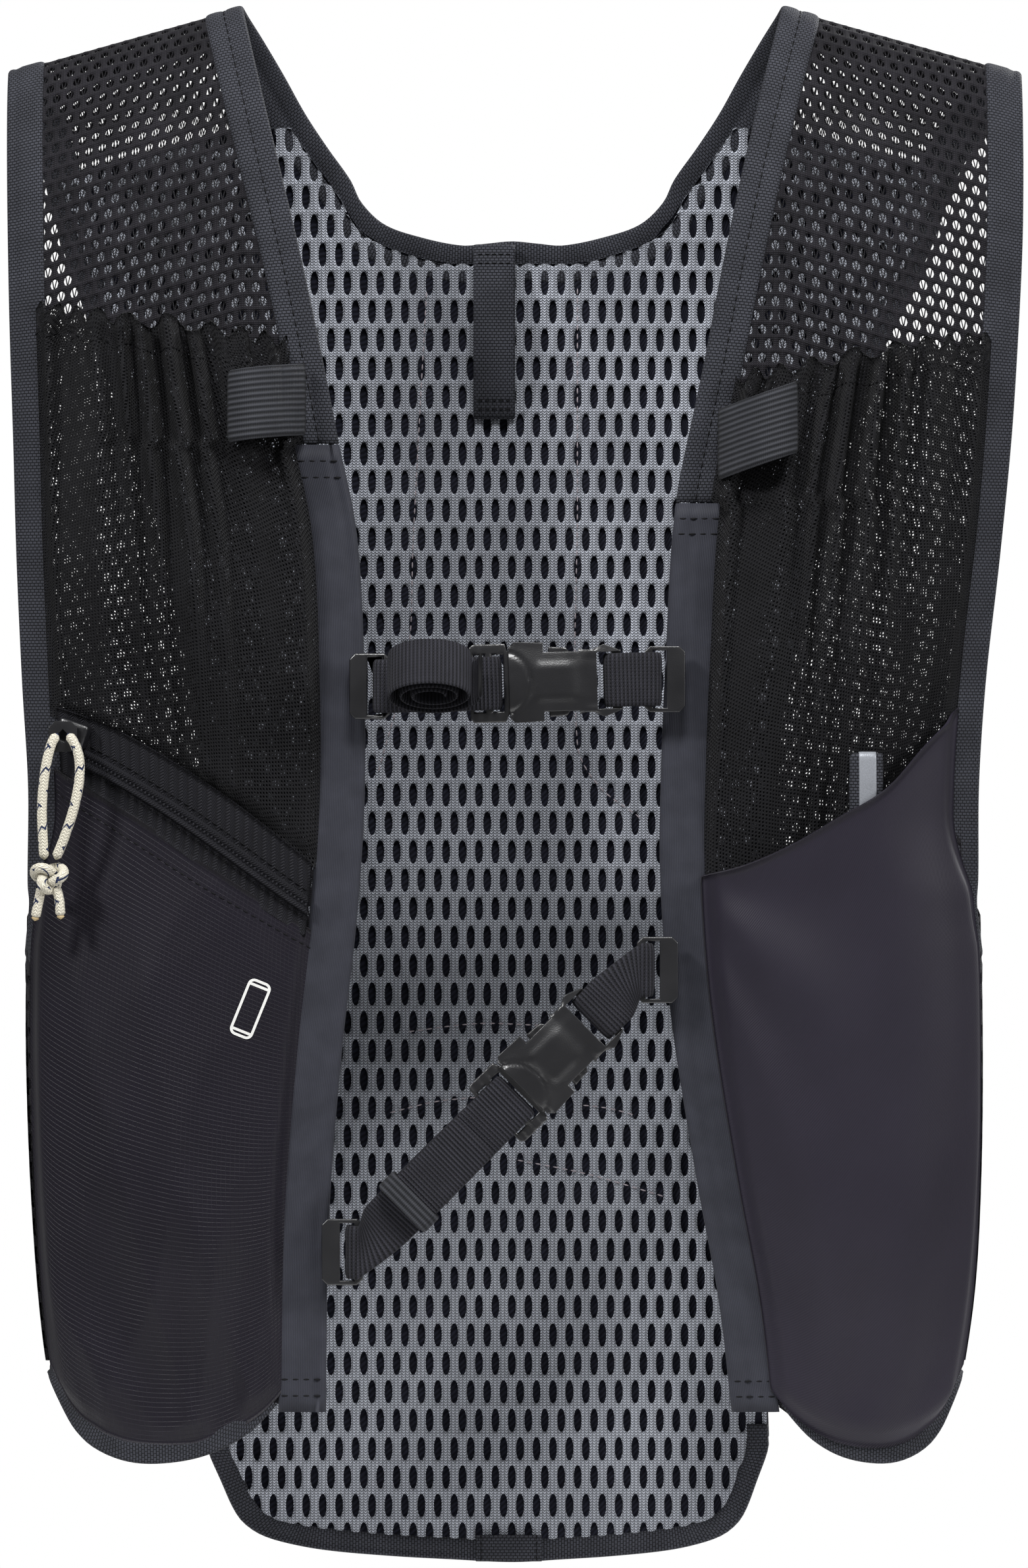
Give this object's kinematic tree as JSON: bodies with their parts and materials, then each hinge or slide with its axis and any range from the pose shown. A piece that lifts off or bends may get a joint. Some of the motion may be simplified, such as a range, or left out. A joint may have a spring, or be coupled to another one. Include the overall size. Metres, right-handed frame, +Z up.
{
  "type": "running hydration vest",
  "caption": "Sleeveless running vest with a spacer-mesh back, mesh straps, gathered flask pockets, a zipped and an open front pocket, and two buckled chest straps.",
  "frame": {"origin": "midway between the two shoulder straps, level with their undersides at the neck's edges: the place that rests on the wearer's shoulders", "axes": "+Z up, the front of the vest faces -Y, and +X is to the right of a viewer who stands before the front"},
  "size_m": [0.2891, 0.1138, 0.4467],
  "materials": {
    "net": "open knitted net",
    "binding": "grosgrain",
    "rail": "knitted tape",
    "spacer": "spacer mesh with oval eyes",
    "sleeve": "woven stretch nylon",
    "gathered": "gathered micro mesh",
    "ripstop": "thin nylon ripstop, slight sheen",
    "stretch": "smooth stretch woven",
    "zip": "zip tape with a nylon coil",
    "acetal": "moulded acetal, satin",
    "webbing": "nylon webbing",
    "elastic": "ribbed elastic",
    "reflective": "retroreflective tape",
    "cord": "braided cord with navy flecks"
  },
  "bodies": {
    "root": {"left_front_panel": "net", "right_front_panel": "net", "left_side_wing": "net", "right_side_wing": "net", "neck_binding": "binding", "left_armhole_binding": "binding", "right_armhole_binding": "binding", "left_hem_binding": "binding", "right_hem_binding": "binding", "back_hem_binding": "binding", "hem_tab": "binding", "left_chest_rail": "rail", "right_chest_rail": "rail", "back_mesh_panel": "spacer", "reservoir_sleeve": "sleeve", "left_flask_pocket": "gathered", "right_flask_pocket": "gathered", "phone_pocket": "ripstop", "stash_pocket": "stretch", "zip_tape": "zip", "zip_chain": "zip", "upper_buckle_sleeve": "acetal", "lower_buckle_sleeve": "acetal", "upper_buckle_fork": "acetal", "lower_buckle_fork": "acetal", "upper_left_hook": "acetal", "lower_left_hook": "acetal", "upper_right_hook": "acetal", "lower_right_hook": "acetal", "zip_slider": "acetal", "zip_pull_tab": "acetal", "upper_left_webbing": "webbing", "upper_right_webbing": "webbing", "lower_left_webbing": "webbing", "lower_right_webbing": "webbing", "webbing_roll": "webbing", "lower_webbing_tail": "webbing", "left_elastic_loop": "elastic", "right_elastic_loop": "elastic", "webbing_keeper": "elastic", "hang_loop": "elastic", "reflective_loop": "reflective", "puller_leg_left": "cord", "puller_leg_right": "cord", "puller_knot": "cord"}
  },
  "joints": []
}
